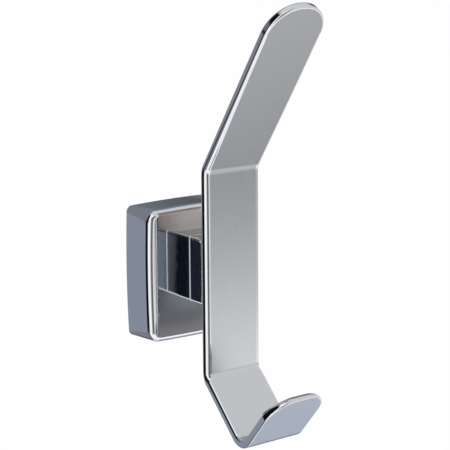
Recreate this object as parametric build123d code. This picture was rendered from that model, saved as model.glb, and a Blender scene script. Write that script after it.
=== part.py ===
from build123d import *
import os
from math import cos, radians, sin

# Hat and coat hook with a square flange for concealed fixing. Millimetres.
# The origin is the centre of the flange on the wall plane, +Z is up and the hook stands out towards -Y.
# A "reach" is a distance from the wall plane, so a reach r is y = -r.

# Flange cover: a cup drawn from thin sheet, open towards the wall, with slightly bowed sides
flange_side = 50.8
flange_bow = 0.6
flange_depth = 16.1
flange_corner_radius = 3.4
flange_rim_radius = 2.2
flange_sheet = 0.8

# Support arm: a square sleeve in two lengths, set a little above the middle of the flange
support_side = 25.4
support_height = 3.4
support_corner_radius = 1.3
support_sheet = 0.8
seam_reach = 23.1
sleeve_end_radius = 0.6
neck_end_radius = 0.35
spigot_length = 4.0
spigot_bore_radius = 0.2
sleeve_clearance = 0.05
weld_clearance = 0.05

# Hook blade: one strip, drawn here by its front surface
blade_width = 25.4
blade_thickness = 3.0
blade_reach = 33.6
blade_edge_radius = 1.1
upper_bend_height = 41.3
lower_bend_height = -36.7
bend_radius = 4.3
arm_length = 74.2
arm_lean = 34.3
arm_end_flat = 1.0
drop_length = 28.9
drop_lean = 45.4
crook_radius = 3.6
lip_length = 28.8
lip_lean = 39.6
lip_end_flat = 5.4

# Wall plate: hidden in the flange and screwed to the wall
plate_sheet = 1.6
plate_bend_radius = 0.8
plate_width = 30.0
plate_shelf_reach = 8.0
plate_hook_height = 5.0
plate_foot_reach = 11.0
wall_screw_hole_radius = 2.4
wall_screw_spacing = 15.0

# Mounting bracket: hidden in the flange, hooked over the plate's upturned edge
bracket_sheet = 1.6
bracket_bend_radius = 0.8
bracket_width = 30.0
bracket_front_clearance = 0.1
bracket_top_room = 1.6
bracket_bottom_room = 3.2
bracket_hook_clearance = 0.3
bracket_foot_back_room = 3.0
feet_gap = 5.6

# Set screw: locks the bracket's foot against the plate's foot
screw_radius = 2.0
screw_length = 6.0
screw_reach = 7.5
screw_socket_across = 2.0
screw_socket_depth = 2.6
screw_point_radius = 1.1
screw_end_chamfer = 0.5
screw_clearance = 0.05
access_hole_radius = 2.6

# Tools for cutting and choosing
drill_length = 8.0
no_sideways_part = 0.001

# Places that follow from the sizes above
bracket_web_reach = flange_depth - flange_sheet - bracket_front_clearance
flange_inner_half = flange_side / 2 - flange_sheet
bracket_top = flange_inner_half - bracket_top_room
bracket_bottom = bracket_bottom_room - flange_inner_half
plate_bottom = bracket_bottom + bracket_sheet + feet_gap
plate_top = -plate_bottom


def front_plane(reach):
    """A plane facing away from the wall, with X to the right and Z up."""
    return Plane.XZ.offset(reach)


def away(lean):
    """Unit vector in the side view (y, z) that rises and leans away from the wall."""
    return Vector(-sin(radians(lean)), cos(radians(lean)))


def bowed_square(side, bow, corner_radius):
    """A square whose four sides swell outwards at their middles."""
    half = side / 2
    arcs = Curve()
    for turn in range(4):
        arcs += Rot(0, 0, 90 * turn) * ThreePointArc((-half, -half), (0, -half - bow), (half, -half))
    return fillet(make_face(arcs).vertices(), corner_radius)


def bent_sheet(points, sheet, inner_radius, width):
    """A folded strip: its centre line in the side view (reach, height), widened to the sheet."""
    corners = [(-reach, height) for reach, height in points]
    centre_line = FilletPolyline(*corners, radius=inner_radius + sheet / 2)
    return extrude(Plane.YZ * trace(centre_line, sheet), amount=width / 2, both=True)


def square_tube(side, corner_radius, start, end):
    """A solid square bar with rounded corners, from one reach to another."""
    outline = Pos(0, support_height) * RectangleRounded(side, side, corner_radius)
    return extrude(front_plane(start) * outline, amount=end - start, dir=(0, -1, 0))


def blade_corners():
    """The corners of the blade's front surface and of its back, in the side view (y, z)."""
    top = Vector(-blade_reach, upper_bend_height)
    low = Vector(-blade_reach, lower_bend_height)
    crook = low - away(-drop_lean) * drop_length
    front = [top + away(arm_lean) * arm_length, top, low, crook, crook + away(lip_lean) * lip_length]
    runs = [(front[i + 1] - front[i]).normalized() for i in range(4)]
    normals = [Vector(run.Y, -run.X) * -1 for run in runs]
    back = [front[0] + normals[0] * blade_thickness]
    for i in range(3):
        square_on = (normals[i] + normals[i + 1]) / (1 + normals[i].dot(normals[i + 1]))
        back.append(front[i + 1] + square_on * blade_thickness)
    back.append(front[4] + normals[3] * blade_thickness)
    return front, back


def blade_slab(width):
    """The bent strip before its ends and edges are rounded."""
    front, back = blade_corners()
    side_view = make_face(Polyline(*front, *reversed(back), close=True))
    for bend, inner_radius in ((1, bend_radius), (2, bend_radius), (3, crook_radius)):
        side_view = round_corner(side_view, front[bend], inner_radius)
        side_view = round_corner(side_view, back[bend], inner_radius + blade_thickness)
    return extrude(Plane.YZ * side_view, amount=width / 2, both=True)


def round_corner(face, corner, radius):
    """The face with the corner that lies nearest to a point rounded."""
    nearest = face.vertices().sort_by_distance((corner.X, corner.Y, 0))[0]
    return fillet(nearest, radius)


def end_waste(end, lean, flat):
    """What is cut off a strip's square end to leave a rounded one with a short flat."""
    radius = (blade_width - flat) / 2
    waste = Pos(0, (1 - radius) / 2) * Rectangle(blade_width + 2, radius + 1)
    waste -= Pos(0, -radius / 2) * Rectangle(flat, radius)
    for side in (-1, 1):
        waste -= Pos(side * flat / 2, -radius) * Circle(radius)
    run = away(lean)
    strip_plane = Plane((0, end.X, end.Y), x_dir=(1, 0, 0), z_dir=(0, -run.Y, run.X))
    return extrude(strip_plane * waste, amount=2 * blade_thickness, both=True)


def make_hook_blade():
    """The strip with round ends and softened edges all the way round."""
    front, back = blade_corners()
    blade = blade_slab(blade_width)
    blade -= end_waste(front[0], arm_lean, arm_end_flat)
    blade -= end_waste(front[4], lip_lean, lip_end_flat)
    tips = [Vector(0, end.X, end.Y) for end in (front[0], front[4])]
    broad_edges = []
    for face in blade.faces():
        at_a_tip = min((face.center() - tip).length for tip in tips) < blade_thickness
        if abs(face.normal_at().X) < no_sideways_part and not at_a_tip:
            broad_edges += face.edges()
    rims = [edge for edge in broad_edges if broad_edges.count(edge) == 1]
    return fillet(rims, blade_edge_radius)


def make_support_arm():
    """The outer sleeve, from the seam to the back of the blade."""
    inner_side = support_side - 2 * support_sheet
    inner_radius = support_corner_radius - support_sheet
    back_reach = blade_reach - blade_thickness - weld_clearance
    sleeve = square_tube(support_side, support_corner_radius, seam_reach, back_reach)
    sleeve = fillet(sleeve.faces().sort_by(Axis.Y)[-1].edges(), sleeve_end_radius)
    return sleeve - square_tube(inner_side, inner_radius, seam_reach, back_reach)


def make_support_neck():
    """The inner length: it stands on the bracket, fills the flange's opening and ends in a spigot."""
    spigot_side = support_side - 2 * (support_sheet + sleeve_clearance)
    spigot_radius = support_corner_radius - support_sheet - sleeve_clearance
    bore_side = spigot_side - 2 * support_sheet
    inner_side = support_side - 2 * support_sheet
    inner_radius = support_corner_radius - support_sheet
    shoulder_reach = seam_reach - support_sheet
    spigot_reach = seam_reach + spigot_length
    neck = square_tube(support_side, support_corner_radius, bracket_web_reach, seam_reach)
    neck = fillet(neck.faces().sort_by(Axis.Y)[0].edges(), neck_end_radius)
    neck += square_tube(spigot_side, spigot_radius, shoulder_reach, spigot_reach)
    neck -= square_tube(inner_side, inner_radius, bracket_web_reach, shoulder_reach)
    return neck - square_tube(bore_side, spigot_bore_radius, shoulder_reach, spigot_reach)


def cushion(inset):
    """The solid form of the flange, drawn in all round by an inset: the cup's outside or its hollow."""
    outline = bowed_square(flange_side - 2 * inset, flange_bow, flange_corner_radius - inset)
    form = extrude(front_plane(0) * outline, amount=flange_depth - inset, dir=(0, -1, 0))
    return fillet(form.faces().sort_by(Axis.Y)[0].edges(), flange_rim_radius - inset)


def make_flange_cover():
    """The drawn cup, with an opening for the neck and an access hole for the set screw."""
    opening_side = support_side + 2 * weld_clearance
    opening_radius = support_corner_radius + weld_clearance
    opening = square_tube(opening_side, opening_radius, bracket_web_reach, flange_depth)
    access = Pos(0, -screw_reach, -flange_side / 2) * Cylinder(access_hole_radius, drill_length)
    return cushion(0) - cushion(flange_sheet) - opening - access


def make_wall_plate():
    """A folded plate: a foot for the set screw, a web with screw holes, and a shelf that ends in a hook."""
    middle = plate_sheet / 2
    path = [
        (plate_foot_reach, plate_bottom + middle),
        (middle, plate_bottom + middle),
        (middle, plate_top - middle),
        (plate_shelf_reach - middle, plate_top - middle),
        (plate_shelf_reach - middle, plate_top + plate_hook_height),
    ]
    plate = bent_sheet(path, plate_sheet, plate_bend_radius, plate_width)
    for side in (-1, 1):
        spot = Pos(0, 0, side * wall_screw_spacing / 2) * Rot(90, 0, 0)
        plate -= spot * Cylinder(wall_screw_hole_radius, drill_length)
    return plate


def make_mounting_bracket():
    """A folded channel: its top lip drops behind the plate's hook and its foot takes the set screw."""
    middle = bracket_sheet / 2
    web = bracket_web_reach - middle
    lip = plate_shelf_reach - plate_sheet - bracket_hook_clearance - middle
    lip_end = plate_top + bracket_hook_clearance
    path = [
        (bracket_foot_back_room, bracket_bottom + middle),
        (web, bracket_bottom + middle),
        (web, bracket_top - middle),
        (lip, bracket_top - middle),
        (lip, lip_end),
    ]
    bracket = bent_sheet(path, bracket_sheet, bracket_bend_radius, bracket_width)
    thread = Cylinder(screw_radius + screw_clearance, drill_length)
    return bracket - Pos(0, -screw_reach, bracket_bottom) * thread


def make_set_screw():
    """A headless screw with a hexagon socket below and a cupped point above."""
    point_height = plate_bottom - screw_clearance
    screw = Cylinder(screw_radius, screw_length, align=(Align.CENTER, Align.CENTER, Align.MAX))
    screw = chamfer(screw.edges().filter_by(GeomType.CIRCLE), screw_end_chamfer)
    socket = extrude(RegularPolygon(screw_socket_across / 2, 6, major_radius=False), screw_socket_depth)
    screw -= Pos(0, 0, -screw_length) * socket
    screw -= Cone(0, screw_point_radius, screw_point_radius / 2, align=(Align.CENTER, Align.CENTER, Align.MAX))
    return Pos(0, -screw_reach, point_height) * screw


pieces = {
    "hook_blade": make_hook_blade,
    "support_arm": make_support_arm,
    "support_neck": make_support_neck,
    "flange_cover": make_flange_cover,
    "mounting_bracket": make_mounting_bracket,
    "wall_plate": make_wall_plate,
    "set_screw": make_set_screw,
}

os.makedirs("parts", exist_ok=True)
for name, make in pieces.items():
    export_step(make(), f"parts/{name}.step")
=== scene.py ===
from math import cos, pi, radians, sin, tan

import bpy
from mathutils import Matrix, Vector


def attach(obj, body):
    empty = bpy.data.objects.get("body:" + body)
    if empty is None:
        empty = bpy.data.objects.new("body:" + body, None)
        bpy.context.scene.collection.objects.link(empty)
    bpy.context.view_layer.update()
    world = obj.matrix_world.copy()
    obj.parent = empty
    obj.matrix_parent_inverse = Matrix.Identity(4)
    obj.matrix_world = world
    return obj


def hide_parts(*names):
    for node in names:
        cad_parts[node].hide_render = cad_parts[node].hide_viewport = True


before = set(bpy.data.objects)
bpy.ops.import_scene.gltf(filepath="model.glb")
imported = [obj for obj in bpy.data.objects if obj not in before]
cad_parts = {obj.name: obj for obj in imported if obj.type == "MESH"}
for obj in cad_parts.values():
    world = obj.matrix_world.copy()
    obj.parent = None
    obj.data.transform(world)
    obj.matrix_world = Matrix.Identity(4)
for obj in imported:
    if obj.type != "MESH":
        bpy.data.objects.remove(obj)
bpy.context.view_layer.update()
bpy.ops.object.select_all(action="DESELECT")


# Wall plate. A strip of 1.6 mm steel folded into a foot, a web and a hooked shelf, then zinc plated.
# Two screws hold it to the wall, and the flange hides it.
plate_zinc = (0.56, 0.57, 0.58)
zinc_dark = 0.86
zinc_light = 1.1
zinc_spangle = 420
zinc_patches = 140
zinc_roughness = (0.34, 0.5)
zinc_relief = 0.00002
noise_low = 0.35
noise_high = 0.65
plain_detail = 2
fine_detail = 3


def bare_metal(name):
    """A metal with nothing on it yet: its nodes, its links and its shader are ready to be joined up."""
    metal = bpy.data.materials.new(name)
    metal.use_nodes = True
    nodes = metal.node_tree.nodes
    shader = nodes["Principled BSDF"]
    shader.inputs["Metallic"].default_value = 1
    return metal, nodes, metal.node_tree.links, shader


def colour_ramp(nodes, links, value, stops):
    """Turns a value into a colour, by way of stops that each have a place from 0 to 1 and a colour."""
    ramp = nodes.new("ShaderNodeValToRGB")
    elements = ramp.color_ramp.elements
    elements.remove(elements[0])
    elements[0].position = stops[0][0]
    elements[0].color = (*stops[0][1], 1)
    for position, colour in stops[1:]:
        elements.new(position).color = (*colour, 1)
    links.new(value, ramp.inputs["Fac"])
    return ramp.outputs["Color"]


def mottle(nodes, links, socket, scale, detail, low, high, stretch=(1, 1, 1)):
    """Lets a noise on the piece's own coordinates move a socket between two greys or two colours."""
    place = nodes.new("ShaderNodeTexCoord")
    mapping = nodes.new("ShaderNodeMapping")
    mapping.inputs["Scale"].default_value = stretch
    links.new(place.outputs["Object"], mapping.inputs["Vector"])
    noise = nodes.new("ShaderNodeTexNoise")
    noise.inputs["Scale"].default_value = scale
    noise.inputs["Detail"].default_value = detail
    links.new(mapping.outputs["Vector"], noise.inputs["Vector"])
    ends = [value if isinstance(value, tuple) else (value, value, value) for value in (low, high)]
    stops = list(zip((noise_low, noise_high), ends))
    links.new(colour_ramp(nodes, links, noise.outputs["Fac"], stops), socket)
    return noise.outputs["Fac"]


def shade_of(colour, factor):
    """The same colour, lighter or darker."""
    return tuple(channel * factor for channel in colour)


def texture_relief(nodes, links, shader, height, depth):
    """Raises and sinks the surface a little, by a height that runs from 0 to 1."""
    bump = nodes.new("ShaderNodeBump")
    bump.inputs["Strength"].default_value = 1
    bump.inputs["Distance"].default_value = depth
    links.new(height, bump.inputs["Height"])
    links.new(bump.outputs["Normal"], shader.inputs["Normal"])


def zinc_plated(name, colour):
    """Dull blue-grey plating with fine crystals, rougher in some patches than in others."""
    metal, nodes, links, shader = bare_metal(name)
    tones = (shade_of(colour, zinc_dark), shade_of(colour, zinc_light))
    crystals = mottle(nodes, links, shader.inputs["Base Color"], zinc_spangle, fine_detail, *tones)
    mottle(nodes, links, shader.inputs["Roughness"], zinc_patches, plain_detail, *zinc_roughness)
    texture_relief(nodes, links, shader, crystals, zinc_relief)
    return metal


def finish_node(name, metal):
    """Gives one of the CAD pieces its metal."""
    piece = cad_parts[name]
    piece.data.materials.clear()
    piece.data.materials.append(metal)


finish_node("wall_plate", zinc_plated("zinc_plate_on_wall_plate", plate_zinc))


# Mounting bracket. A second folded strip of 1.6 mm zinc plated steel: its top lip drops behind the wall
# plate's hook, and its foot has the tapped hole for the set screw.
bracket_zinc = (0.60, 0.61, 0.62)

finish_node("mounting_bracket", zinc_plated("zinc_plate_on_bracket", bracket_zinc))


# Support neck. The inner length of the square arm, welded to the bracket and polished bright. Its
# joggled end goes up the sleeve, so that the two lengths meet in a fine seam.
bright_steel = (0.80, 0.81, 0.83)
buffed_dark = 0.985
buffing_scale = 70
haze_scale = 350
haze_roughness = (0.018, 0.045)
buffing_relief = 0.0000004


def polished(name, colour):
    """Buffed stainless: a mirror with the faint waviness and haze that the wheel leaves."""
    metal, nodes, links, shader = bare_metal(name)
    tones = (shade_of(colour, buffed_dark), colour)
    mottle(nodes, links, shader.inputs["Base Color"], buffing_scale, plain_detail, *tones)
    haze = mottle(nodes, links, shader.inputs["Roughness"], haze_scale, fine_detail, *haze_roughness)
    texture_relief(nodes, links, shader, haze, buffing_relief)
    return metal


mirror_steel = polished("polished_steel", bright_steel)
finish_node("support_neck", mirror_steel)


# Flange cover. A square cup drawn from thin stainless sheet and polished, open towards the wall. Its
# sides bow out a little, and its corners are softer in front than at the wall. The neck passes through
# its front, and a hole in its underside lets a key reach the set screw.
flange_side = 0.0508
flange_bow = 0.0006
flange_depth = 0.0155
flange_sheet = 0.0008
front_sheet = 0.0003
wall_corner_radius = 0.0022
front_corner_radius = 0.0044
rim_radius = 0.0025
flange_corner_steps = 14
rim_steps = 10
bow_steps = 14
neck_side = 0.0254
neck_corner_radius = 0.0013
neck_height = 0.0034
neck_clearance = 0.00005
access_radius = 0.0026
access_reach = 0.0075
access_drill_length = 0.0064
access_steps = 48
smooth_under = radians(40)
dome_radius = 1.5
dome_starts = 0.97


def deselect_all(mesh):
    """Leaves edit mode with nothing selected, so that parts can be picked one by one."""
    bpy.ops.object.mode_set(mode="OBJECT")
    for part in (mesh.polygons, mesh.edges, mesh.vertices):
        for item in part:
            item.select = False


def pick(mesh, choose):
    """Selects the vertices that a test picks, and goes back to edit mode."""
    deselect_all(mesh)
    for vertex in mesh.vertices:
        vertex.select = choose(vertex.co)
    bpy.ops.object.mode_set(mode="EDIT")


def cut_out(piece, cutter):
    """Takes the shape of a cutter out of a piece, and throws the cutter away."""
    hole = piece.modifiers.new("hole", "BOOLEAN")
    hole.object = cutter
    hole.solver = "EXACT"
    bpy.context.view_layer.objects.active = piece
    bpy.ops.object.modifier_apply(modifier=hole.name)
    bpy.data.objects.remove(cutter)


# The front's inside lies close to its outside, because the bracket stands right behind it.
flange_half = flange_side / 2
rim_start = flange_depth - rim_radius
hair = rim_radius / 100
bpy.ops.mesh.primitive_plane_add(size=flange_side, location=(0, -rim_start, 0), rotation=(radians(90), 0, 0))
flange = bpy.context.object
flange.name = "polished_flange_cover"
bpy.ops.object.transform_apply(location=True, rotation=True, scale=True)
mesh = flange.data
bpy.ops.object.mode_set(mode="EDIT")
bpy.ops.mesh.select_all(action="SELECT")
bpy.ops.mesh.bevel(offset=front_corner_radius, segments=flange_corner_steps, affect="VERTICES")
deselect_all(mesh)
for edge in mesh.edges:
    first, second = (mesh.vertices[i].co for i in edge.vertices)
    edge.select = (first - second).length > flange_half
bpy.ops.object.mode_set(mode="EDIT")
bpy.ops.mesh.select_mode(type="EDGE")
bpy.ops.mesh.subdivide(number_cuts=bow_steps)
bpy.ops.mesh.select_mode(type="VERT")
bpy.ops.mesh.select_all(action="SELECT")
bpy.ops.mesh.extrude_region_move(TRANSFORM_OT_translate={"value": (0, rim_start, 0)})
bpy.ops.mesh.select_all(action="SELECT")
bpy.ops.mesh.normals_make_consistent(inside=False)
bpy.ops.object.mode_set(mode="OBJECT")
# The corners are drawn in tighter at the wall, and each side swells outwards at its middle.
for vertex in mesh.vertices:
    side_x, side_z = (1 if value > 0 else -1 for value in (vertex.co.x, vertex.co.z))
    from_x = abs(vertex.co.x) - (flange_half - front_corner_radius)
    from_z = abs(vertex.co.z) - (flange_half - front_corner_radius)
    if vertex.co.y > -rim_start / 2 and min(from_x, from_z) > -hair:
        shrink = wall_corner_radius / front_corner_radius
        vertex.co.x = side_x * (flange_half - wall_corner_radius + from_x * shrink)
        vertex.co.z = side_z * (flange_half - wall_corner_radius + from_z * shrink)
    bulge_x = flange_bow * abs(vertex.co.x) / flange_half * (1 - (vertex.co.z / flange_half) ** 2)
    bulge_z = flange_bow * abs(vertex.co.z) / flange_half * (1 - (vertex.co.x / flange_half) ** 2)
    vertex.co.x += side_x * max(0, bulge_x)
    vertex.co.z += side_z * max(0, bulge_z)
# The rim is rolled over by insets, and a smaller copy of the whole skin is the cup's inside.
pick(mesh, lambda place: place.y > -rim_start / 2)
bpy.ops.mesh.delete(type="ONLY_FACE")
pick(mesh, lambda place: place.y < -rim_start / 2)
for step in range(rim_steps):
    now = radians(90) * step / rim_steps
    after = radians(90) * (step + 1) / rim_steps
    inwards = rim_radius * (cos(now) - cos(after))
    bpy.ops.mesh.inset(thickness=inwards, depth=rim_radius * (sin(after) - sin(now)))
bpy.ops.mesh.select_all(action="SELECT")
bpy.ops.mesh.normals_make_consistent(inside=False)
bpy.ops.mesh.duplicate()
inner_scale = 1 - flange_sheet / flange_half
bpy.ops.transform.resize(value=(inner_scale, 1 - front_sheet / flange_depth, inner_scale),
                         center_override=(0, 0, 0))
bpy.ops.mesh.flip_normals()
pick(mesh, lambda place: place.y > -hair)
bpy.ops.mesh.bridge_edge_loops()
bpy.ops.object.mode_set(mode="OBJECT")

# The opening's corners are cut straight and not round.
opening_side = neck_side + 2 * neck_clearance
bpy.ops.mesh.primitive_cube_add(size=opening_side, location=(0, -flange_depth, neck_height))
square_cutter = bpy.context.object
square_cutter.modifiers.new("corners", "BEVEL").width = neck_corner_radius
cut_out(flange, square_cutter)
bpy.ops.mesh.primitive_cylinder_add(vertices=access_steps, radius=access_radius,
                                    depth=access_drill_length, location=(0, -access_reach, -flange_half))
cut_out(flange, bpy.context.object)
bpy.ops.object.select_all(action="DESELECT")
flange.select_set(True)
bpy.ops.object.shade_smooth_by_angle(angle=smooth_under)
even_faces = flange.modifiers.new("flat faces stay flat", "WEIGHTED_NORMAL")
even_faces.keep_sharp = True
bpy.ops.object.modifier_apply(modifier=even_faces.name)


def domed_front(metal):
    """Leans the front face's normals outwards from the middle, as on a large shallow dome."""
    nodes = metal.node_tree.nodes
    links = metal.node_tree.links
    shader = nodes["Principled BSDF"]
    place = nodes.new("ShaderNodeTexCoord")
    lean = nodes.new("ShaderNodeVectorMath")
    lean.operation = "MULTIPLY"
    lean.inputs[1].default_value = (1 / dome_radius, 0, 1 / dome_radius)
    links.new(place.outputs["Object"], lean.inputs[0])
    facing = nodes.new("ShaderNodeNewGeometry")
    split = nodes.new("ShaderNodeSeparateXYZ")
    links.new(facing.outputs["Normal"], split.inputs["Vector"])
    is_front = nodes.new("ShaderNodeMapRange")
    is_front.inputs["From Min"].default_value = -dome_starts
    is_front.inputs["From Max"].default_value = -1
    links.new(split.outputs["Y"], is_front.inputs["Value"])
    only_front = nodes.new("ShaderNodeVectorMath")
    only_front.operation = "SCALE"
    links.new(lean.outputs["Vector"], only_front.inputs["Vector"])
    links.new(is_front.outputs["Result"], only_front.inputs["Scale"])
    waviness = shader.inputs["Normal"].links[0].from_socket
    tilted = nodes.new("ShaderNodeVectorMath")
    tilted.operation = "ADD"
    links.new(waviness, tilted.inputs[0])
    links.new(only_front.outputs["Vector"], tilted.inputs[1])
    unit = nodes.new("ShaderNodeVectorMath")
    unit.operation = "NORMALIZE"
    links.new(tilted.outputs["Vector"], unit.inputs[0])
    links.new(unit.outputs["Vector"], shader.inputs["Normal"])


flange_steel = polished("polished_flange_steel", bright_steel)
domed_front(flange_steel)
mesh.materials.append(flange_steel)
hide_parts("flange_cover")
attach(flange, "root")
bpy.ops.object.select_all(action="DESELECT")


# Support arm. The outer length of the square arm, a polished sleeve folded from thin stainless sheet.
# It slides over the neck's end and is welded to the back of the blade.
finish_node("support_arm", mirror_steel)


# Hook blade. One strip of 3 mm stainless, an inch wide, folded three times: the hat arm leans out above
# and the coat hook turns up below. The broad faces are satin, with painted shade darkening the front towards
# the hat arm. The edges are rounded over and polished, most heavily along the upright. The back has painted
# light in a straw tone round a place just above the support arm, and painted shade in grey rings further
# out.
strip_width = 0.0254
strip_thickness = 0.003
strip_reach = 0.0336
upper_bend_height = 0.0413
upright_length = 0.078
arm_length = 0.0740
drop_length = 0.02888
lip_length = 0.0288
arm_lean = radians(34.3)
drop_lean = radians(45.4)
lip_lean = radians(39.6)
bend_radius = 0.0043
crook_radius = 0.0036
arm_corner_radius = 0.0122
lip_corner_radius = 0.0100
corner_steps = 26
bend_steps = 18
long_steps = 12
short_steps = 4
heavy_rounding = 0.0022
light_rounding = 0.00085
back_rounding = 0.0006
rounding_steps = 9
same_place = strip_thickness / 10
merge_distance = same_place / 100
edge_metal = 1
back_metal = 2
satin_colour = (0.76, 0.77, 0.78)
satin_dark = 0.975
satin_light = 1.02
satin_roughness = (0.28, 0.32)
satin_relief = 0.0000005
back_roughness = (0.32, 0.4)
grain_scale = 1
grain_stretch = (5200, 190, 190)
# Between these heights the satin's colour is darkened upwards as painted shade, down to the given share.
unshaded_satin_height = -0.04
fully_shaded_satin_height = 0.045
painted_shade_on_satin = 0.6
# The back's painted light and painted shade: a straw tone lighter than the satin near the centre, grey rings
# darker than the satin further out.
painted_light_height = 0.018
painted_rings_reach = 0.055
painted_light_and_shade_rings = (
    (0.009, (1.00, 0.89, 0.80)),
    (0.020, (0.90, 0.78, 0.69)),
    (0.030, (0.46, 0.47, 0.49)),
    (0.042, (0.46, 0.49, 0.53)),
    (0.052, satin_colour),
)


def rising(lean):
    """The direction in the side view that rises and leans away from the wall."""
    return Vector((0, -sin(lean), cos(lean)))


def off_the_front(run):
    """The direction that stands off the strip's front surface, where the strip runs that way."""
    return Vector((0, run.z, -run.y))


def draw_out(run, distance, steps=1):
    """Lengthens the strip from its selected end edge."""
    for _ in range(steps):
        bpy.ops.mesh.extrude_region_move(TRANSFORM_OT_translate={"value": run * distance / steps})


def fold(end, run, radius, turn):
    """Bends the strip forward from its selected end edge, round a centre in front of it."""
    centre = end + off_the_front(run) * radius
    bpy.ops.mesh.spin(steps=bend_steps, angle=turn, center=centre, axis=(1, 0, 0))


def pick_end(mesh, end):
    """Selects the strip's vertices that lie at one place along it, whatever their place across it."""
    pick(mesh, lambda place: (place - Vector((place.x, end.y, end.z))).length < same_place)


arm_run = -rising(arm_lean)
upright_run = Vector((0, 0, -1))
drop_run = -rising(-drop_lean)
lip_run = rising(lip_lean)
upper_corner = Vector((0, -strip_reach, upper_bend_height))
lower_corner = upper_corner + upright_run * upright_length
crook_corner = lower_corner + drop_run * drop_length
arm_tip = upper_corner - arm_run * arm_length
lip_tip = crook_corner + lip_run * lip_length
crook_turn = pi - drop_lean - lip_lean
upper_setback = bend_radius * tan(arm_lean / 2)
lower_setback = bend_radius * tan(drop_lean / 2)
crook_setback = crook_radius * tan(crook_turn / 2)

bpy.ops.mesh.primitive_plane_add(size=strip_width, location=arm_tip + arm_run * strip_width / 2,
                                 rotation=(radians(90) + arm_lean, 0, 0))
blade = bpy.context.object
blade.name = "satin_hook_blade"
bpy.ops.object.transform_apply(location=True, rotation=True, scale=True)
mesh = blade.data
bpy.ops.object.mode_set(mode="EDIT")
bpy.ops.mesh.select_mode(type="VERT")
pick_end(mesh, arm_tip + arm_run * strip_width)
draw_out(arm_run, arm_length - strip_width - upper_setback, long_steps)
fold(upper_corner - arm_run * upper_setback, arm_run, bend_radius, arm_lean)
draw_out(upright_run, upright_length - upper_setback - lower_setback, long_steps)
fold(lower_corner - upright_run * lower_setback, upright_run, bend_radius, drop_lean)
draw_out(drop_run, drop_length - lower_setback - crook_setback, short_steps)
fold(crook_corner - drop_run * crook_setback, drop_run, crook_radius, crook_turn)
draw_out(lip_run, lip_length - crook_setback)
for tip, corner_radius in ((arm_tip, arm_corner_radius), (lip_tip, lip_corner_radius)):
    pick_end(mesh, tip)
    bpy.ops.mesh.bevel(offset=corner_radius, segments=corner_steps, affect="VERTICES")
bpy.ops.mesh.select_all(action="SELECT")
bpy.ops.mesh.remove_doubles(threshold=merge_distance)
bpy.ops.mesh.normals_make_consistent(inside=False)
bpy.ops.object.mode_set(mode="OBJECT")
on_upright = min(mesh.polygons, key=lambda face: (face.center - (upper_corner + lower_corner) / 2).length)
if on_upright.normal.y > 0:
    bpy.ops.object.mode_set(mode="EDIT")
    bpy.ops.mesh.flip_normals()
    bpy.ops.object.mode_set(mode="OBJECT")

# The satin faces are brushed along the strip. Their colour is darkened upwards, towards the hat arm, as
# painted shade.
satin, nodes, links, shader = bare_metal("satin_steel")
tones = (shade_of(satin_colour, satin_dark), shade_of(satin_colour, satin_light))
grain = mottle(nodes, links, shader.inputs["Base Color"], grain_scale, plain_detail, *tones, grain_stretch)
brushed = shader.inputs["Base Color"].links[0].from_socket
place = nodes.new("ShaderNodeTexCoord")
split = nodes.new("ShaderNodeSeparateXYZ")
links.new(place.outputs["Object"], split.inputs["Vector"])
painted_shade_upwards = nodes.new("ShaderNodeMapRange")
painted_shade_upwards.interpolation_type = "SMOOTHSTEP"
painted_shade_upwards.inputs["From Min"].default_value = unshaded_satin_height
painted_shade_upwards.inputs["From Max"].default_value = fully_shaded_satin_height
painted_shade_upwards.inputs["To Min"].default_value = 1
painted_shade_upwards.inputs["To Max"].default_value = painted_shade_on_satin
links.new(split.outputs["Z"], painted_shade_upwards.inputs["Value"])
satin_with_painted_shade = nodes.new("ShaderNodeVectorMath")
satin_with_painted_shade.operation = "SCALE"
links.new(brushed, satin_with_painted_shade.inputs["Vector"])
links.new(painted_shade_upwards.outputs["Result"], satin_with_painted_shade.inputs["Scale"])
links.new(satin_with_painted_shade.outputs["Vector"], shader.inputs["Base Color"])
mottle(nodes, links, shader.inputs["Roughness"], grain_scale, plain_detail, *satin_roughness,
       grain_stretch)
texture_relief(nodes, links, shader, grain, satin_relief)
mesh.materials.append(satin)
mesh.materials.append(mirror_steel)

# The back is painted with light and shade: a straw tone lighter than the satin round a place just above the
# support arm, as painted light, and grey rings darker than the satin further out, as painted shade.
back, nodes, links, shader = bare_metal("satin_steel_with_painted_light_and_shade")
mottle(nodes, links, shader.inputs["Roughness"], grain_scale, plain_detail, *back_roughness,
       grain_stretch)
place = nodes.new("ShaderNodeTexCoord")
from_painted_light_centre = nodes.new("ShaderNodeVectorMath")
from_painted_light_centre.operation = "DISTANCE"
from_painted_light_centre.inputs[1].default_value = (0, strip_thickness - strip_reach, painted_light_height)
links.new(place.outputs["Object"], from_painted_light_centre.inputs[0])
reached = nodes.new("ShaderNodeMath")
reached.operation = "DIVIDE"
reached.inputs[1].default_value = painted_rings_reach
links.new(from_painted_light_centre.outputs["Value"], reached.inputs[0])
stops = [(distance / painted_rings_reach, colour) for distance, colour in painted_light_and_shade_rings]
links.new(colour_ramp(nodes, links, reached.outputs["Value"], stops), shader.inputs["Base Color"])
mesh.materials.append(back)

front_count = len(mesh.vertices)
wall = blade.modifiers.new("thickness", "SOLIDIFY")
wall.thickness = strip_thickness
wall.offset = -1
wall.use_even_offset = True
wall.material_offset = back_metal
wall.material_offset_rim = edge_metal
bpy.ops.object.modifier_apply(modifier=wall.name)


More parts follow.
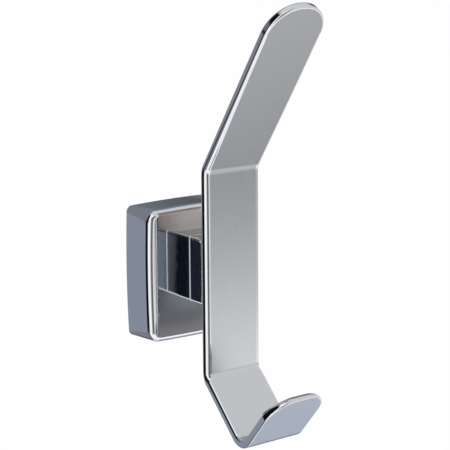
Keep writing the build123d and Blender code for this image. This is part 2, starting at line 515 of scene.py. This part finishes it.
def rounding_at(place):
    """How far the front edge is rounded over at a place: lightly at both ends, heavily on the upright."""
    if place.z > upper_corner.z:
        along = (arm_tip.z - place.z) / (arm_tip.z - upper_corner.z)
        return light_rounding + (heavy_rounding - light_rounding) * max(0, along) ** 2
    past_bend = (lower_corner.z - place.z) / lower_setback
    return heavy_rounding + (light_rounding - heavy_rounding) * min(max(past_bend, 0), 1)


def back_rounding_at(place):
    """How far the back edge is rounded over: a little more round the tip of the hat arm."""
    return light_rounding if place.z > arm_tip.z - arm_corner_radius else back_rounding


# Each long edge gets its own rounding, as a share of the heaviest.
rim_edges = set()
for face in mesh.polygons:
    if face.material_index == edge_metal:
        rim_edges.update(face.edge_keys)
weights = mesh.attributes.new("bevel_weight_edge", "FLOAT", "EDGE")
for edge in mesh.edges:
    in_front = [vertex < front_count for vertex in edge.vertices]
    if edge.key in rim_edges and in_front[0] == in_front[1]:
        middle = (mesh.vertices[edge.vertices[0]].co + mesh.vertices[edge.vertices[1]].co) / 2
        rounding = rounding_at(middle) if in_front[0] else back_rounding_at(middle)
        weights.data[edge.index].value = rounding / heavy_rounding
softened = blade.modifiers.new("rounded edges", "BEVEL")
softened.limit_method = "WEIGHT"
softened.width = heavy_rounding
softened.segments = rounding_steps
softened.material = edge_metal
softened.use_clamp_overlap = False
bpy.ops.object.modifier_apply(modifier=softened.name)
bpy.ops.object.shade_smooth()
flat_faces = blade.modifiers.new("flat faces stay flat", "WEIGHTED_NORMAL")
flat_faces.keep_sharp = False
bpy.ops.object.modifier_apply(modifier=flat_faces.name)
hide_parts("hook_blade")
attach(blade, "root")
bpy.ops.object.select_all(action="DESELECT")


# Set screw. A small headless screw turned from plain stainless, with a hexagon socket. It goes in through
# the flange's underside and locks the bracket to the wall plate.
screw_colour = (0.45, 0.46, 0.47)
screw_dark = 0.85
screw_grain = 300
screw_roughness = (0.25, 0.45)
turning_scale = 1
turning_detail = 1
turning_stretch = (60, 60, 2600)

screw_metal, nodes, links, shader = bare_metal("turned_screw_steel")
screw_tones = (shade_of(screw_colour, screw_dark), screw_colour)
mottle(nodes, links, shader.inputs["Base Color"], screw_grain, plain_detail, *screw_tones)
mottle(nodes, links, shader.inputs["Roughness"], turning_scale, turning_detail, *screw_roughness,
       turning_stretch)
finish_node("set_screw", screw_metal)


# Studio. The hook hangs in front of white, over a pale floor. What the steel mirrors is a grey tent, whiter
# below, with a lamp screen at the left, black and grey cards round it, and dark strips at the camera.
floor_drop = 0.4
floor_size = 30
floor_roughness = 0.9
floor_colour = (0.9, 0.9, 0.9)
floor_glow = 0.985
tent_levels = (
    (-90, (0.80, 0.81, 0.84)),
    (-50, (1.14, 1.15, 1.17)),
    (-30, (0.98, 0.99, 1.00)),
    (-18, (1.00, 1.00, 1.00)),
    (-14, (0.61, 0.62, 0.64)),
    (-10, (0.48, 0.49, 0.50)),
    (-5, (0.62, 0.63, 0.64)),
    (0, (0.74, 0.75, 0.77)),
    (50, (0.68, 0.69, 0.71)),
    (90, (0.72, 0.72, 0.72)),
)

# A card or a lamp screen: where it begins and ends in degrees and how softly, the same for its height,
# and its colour. The turn is 0 in front of the hook and negative at the left. The last hangs foremost.
cards = (
    # Low at the right: one grey, one blue.
    ((75, 96), 14, (-70, -38), 14, (0.18, 0.18, 0.19)),
    ((98, 140), 10, (-75, -35), 14, (0.64, 0.74, 0.95)),
    # The lamp screen at the left, then in front a dark card and a light one.
    ((-86, -28), 6, (-80, 66), 12, (1.1, 1.1, 1.1)),
    ((-28, -1), 6, (-30, 15), 10, (0.10, 0.11, 0.13)),
    ((-1, 22), 6, (-30, 5), 8, (0.85, 0.86, 0.90)),
    # Beyond the lamp screen, at the left and a little behind, a grey card with two black ones on it.
    ((-140, -86), 6, (-80, 60), 20, (0.17, 0.18, 0.20)),
    ((-140, -86), 6, (-22, 5), 8, (0.005, 0.006, 0.008)),
    ((-119, -76), 6, (0, 58), 6, (0.005, 0.006, 0.008)),
    # Behind the hook at the left, a grey card with a lighter band.
    ((-181, -138), 6, (-80, 70), 20, (0.22, 0.235, 0.265)),
    ((-181, -138), 6, (-24, -6), 8, (0.275, 0.31, 0.38)),
    # Behind the hook at the right, a dark card with lighter ones on it, and a warm screen over a grey one.
    ((115, 181), 10, (-60, 60), 20, (0.08, 0.095, 0.11)),
    ((125, 181), 10, (20, 60), 10, (0.22, 0.25, 0.29)),
    ((147, 181), 8, (-10, 60), 10, (0.20, 0.23, 0.27)),
    ((112, 160), 8, (-11, 8), 6, (1.0, 0.86, 0.76)),
    ((112, 160), 8, (-35, -11), 4, (0.30, 0.28, 0.27)),
    # Above the camera a dark card, and at the camera four narrow dark strips, each darker than the last.
    ((-40, 10), 4, (15, 33), 4, (0.13, 0.11, 0.10)),
    ((-39, -31), 0.5, (-40, 15), 6, (0.18, 0.21, 0.25)),
    ((-39, -32.7), 0.1, (-40, 15), 6, (0.075, 0.08, 0.095)),
    ((-39, -33.35), 0.1, (-40, 15), 6, (0.016, 0.02, 0.032)),
    ((-36.35, -33.35), 0.1, (-40, 15), 6, (0.004, 0.008, 0.014)),
)

bpy.ops.mesh.primitive_plane_add(size=floor_size, location=(0, 0, -floor_drop))
floor = bpy.context.object
floor.name = "floor"
floor.visible_glossy = False
floor_paint = bpy.data.materials.new("pale_floor")
floor_paint.use_nodes = True
nodes = floor_paint.node_tree.nodes
links = floor_paint.node_tree.links
paint = nodes["Principled BSDF"]
paint.inputs["Base Color"].default_value = (*floor_colour, 1)
paint.inputs["Roughness"].default_value = floor_roughness
glow = nodes.new("ShaderNodeEmission")
glow.inputs["Strength"].default_value = 1
seen_by = nodes.new("ShaderNodeLightPath")
share = nodes.new("ShaderNodeMath")
share.operation = "MULTIPLY"
share.inputs[1].default_value = floor_glow
links.new(seen_by.outputs["Is Camera Ray"], share.inputs[0])
mix = nodes.new("ShaderNodeMixShader")
links.new(share.outputs["Value"], mix.inputs["Fac"])
links.new(paint.outputs["BSDF"], mix.inputs[1])
links.new(glow.outputs["Emission"], mix.inputs[2])
links.new(mix.outputs["Shader"], nodes["Material Output"].inputs["Surface"])
floor.data.materials.append(floor_paint)

tent = bpy.data.worlds.new("studio_tent")
tent.use_nodes = True
bpy.context.scene.world = tent
nodes = tent.node_tree.nodes
links = tent.node_tree.links
nodes.clear()
direction = nodes.new("ShaderNodeTexCoord")
split = nodes.new("ShaderNodeSeparateXYZ")
links.new(direction.outputs["Generated"], split.inputs["Vector"])


def work_out(operation, first, second=None):
    """One step of arithmetic on the direction that a ray leaves in."""
    step = nodes.new("ShaderNodeMath")
    step.operation = operation
    for socket, value in zip(step.inputs, (first, second)):
        if isinstance(value, bpy.types.NodeSocket):
            links.new(value, socket)
        elif value is not None:
            socket.default_value = value
    return step.outputs["Value"]


def soft_edge(value, start, end):
    """Rises smoothly from 0 to 1 between two angles."""
    edge = nodes.new("ShaderNodeMapRange")
    edge.interpolation_type = "SMOOTHSTEP"
    edge.inputs["From Min"].default_value = start
    edge.inputs["From Max"].default_value = end
    links.new(value, edge.inputs["Value"])
    return edge.outputs["Result"]


def hang(behind, turns, turn_blur, rises, rise_blur, colour):
    """Hangs a card or a lamp screen in the tent: its sides, in degrees, and how softly they end."""
    covers = 1
    for value, (low, high), blur in ((turn, turns, turn_blur), (rise, rises, rise_blur)):
        covers = work_out("MULTIPLY", soft_edge(value, low - blur / 2, low + blur / 2), covers)
        covers = work_out("MULTIPLY", soft_edge(value, high + blur / 2, high - blur / 2), covers)
    mix = nodes.new("ShaderNodeMix")
    mix.data_type = "RGBA"
    links.new(covers, mix.inputs["Factor"])
    links.new(behind, mix.inputs["A"])
    mix.inputs["B"].default_value = (*colour, 1)
    return mix.outputs["Result"]


quarter_turn = 90
half_turn = 180
off_the_wall = work_out("MULTIPLY", split.outputs["Y"], -1)
turn = work_out("DEGREES", work_out("ARCTAN2", split.outputs["X"], off_the_wall))
rise = work_out("DEGREES", work_out("ARCSINE", split.outputs["Z"]))
by_height = [((height + quarter_turn) / half_turn, colour) for height, colour in tent_levels]
share_of_height = work_out("DIVIDE", work_out("ADD", rise, quarter_turn), half_turn)
light = colour_ramp(nodes, links, share_of_height, by_height)
for card in cards:
    light = hang(light, *card)

seen_by = nodes.new("ShaderNodeLightPath")
backdrop = nodes.new("ShaderNodeMix")
backdrop.data_type = "RGBA"
links.new(seen_by.outputs["Is Camera Ray"], backdrop.inputs["Factor"])
links.new(light, backdrop.inputs["A"])
backdrop.inputs["B"].default_value = (1, 1, 1, 1)
shine = nodes.new("ShaderNodeBackground")
links.new(backdrop.outputs["Result"], shine.inputs["Color"])
output = nodes.new("ShaderNodeOutputWorld")
links.new(shine.outputs["Background"], output.inputs["Surface"])


# Camera. It stands to the left of the hook and a little above it, level but for less than half a degree.
# Its shift puts the hook where the photograph has it.
camera_turn = radians(-36.54)
camera_rise = radians(11.45)
camera_roll = radians(-0.37)
camera_distance = 0.55227
aimed_at = Vector((0, -0.020, 0))
moved_right = 0.00514
moved_up = 0.02063
picture_width = 450
focal_pixels = 1445.33
centre_across = 225.81
centre_down = 217.36
film_width = 36

level_part = cos(camera_rise)
toward = Vector((sin(camera_turn) * level_part, -cos(camera_turn) * level_part, sin(camera_rise)))
right = Vector((cos(camera_turn), sin(camera_turn), 0))
up = toward.cross(right)
rolled_right = cos(camera_roll) * right + sin(camera_roll) * up
rolled_up = -sin(camera_roll) * right + cos(camera_roll) * up
station = aimed_at + camera_distance * toward + moved_right * rolled_right + moved_up * rolled_up
lens = bpy.data.cameras.new("camera")
lens.sensor_width = film_width
lens.lens = focal_pixels / picture_width * film_width
lens.shift_x = (picture_width / 2 - centre_across) / picture_width
lens.shift_y = (centre_down - picture_width / 2) / picture_width
camera = bpy.data.objects.new("camera", lens)
bpy.context.scene.collection.objects.link(camera)
stands = Matrix((rolled_right, rolled_up, toward)).transposed()
camera.matrix_world = Matrix.Translation(station) @ stands.to_4x4()
bpy.context.scene.camera = camera
bpy.context.scene.view_settings.view_transform = "Standard"
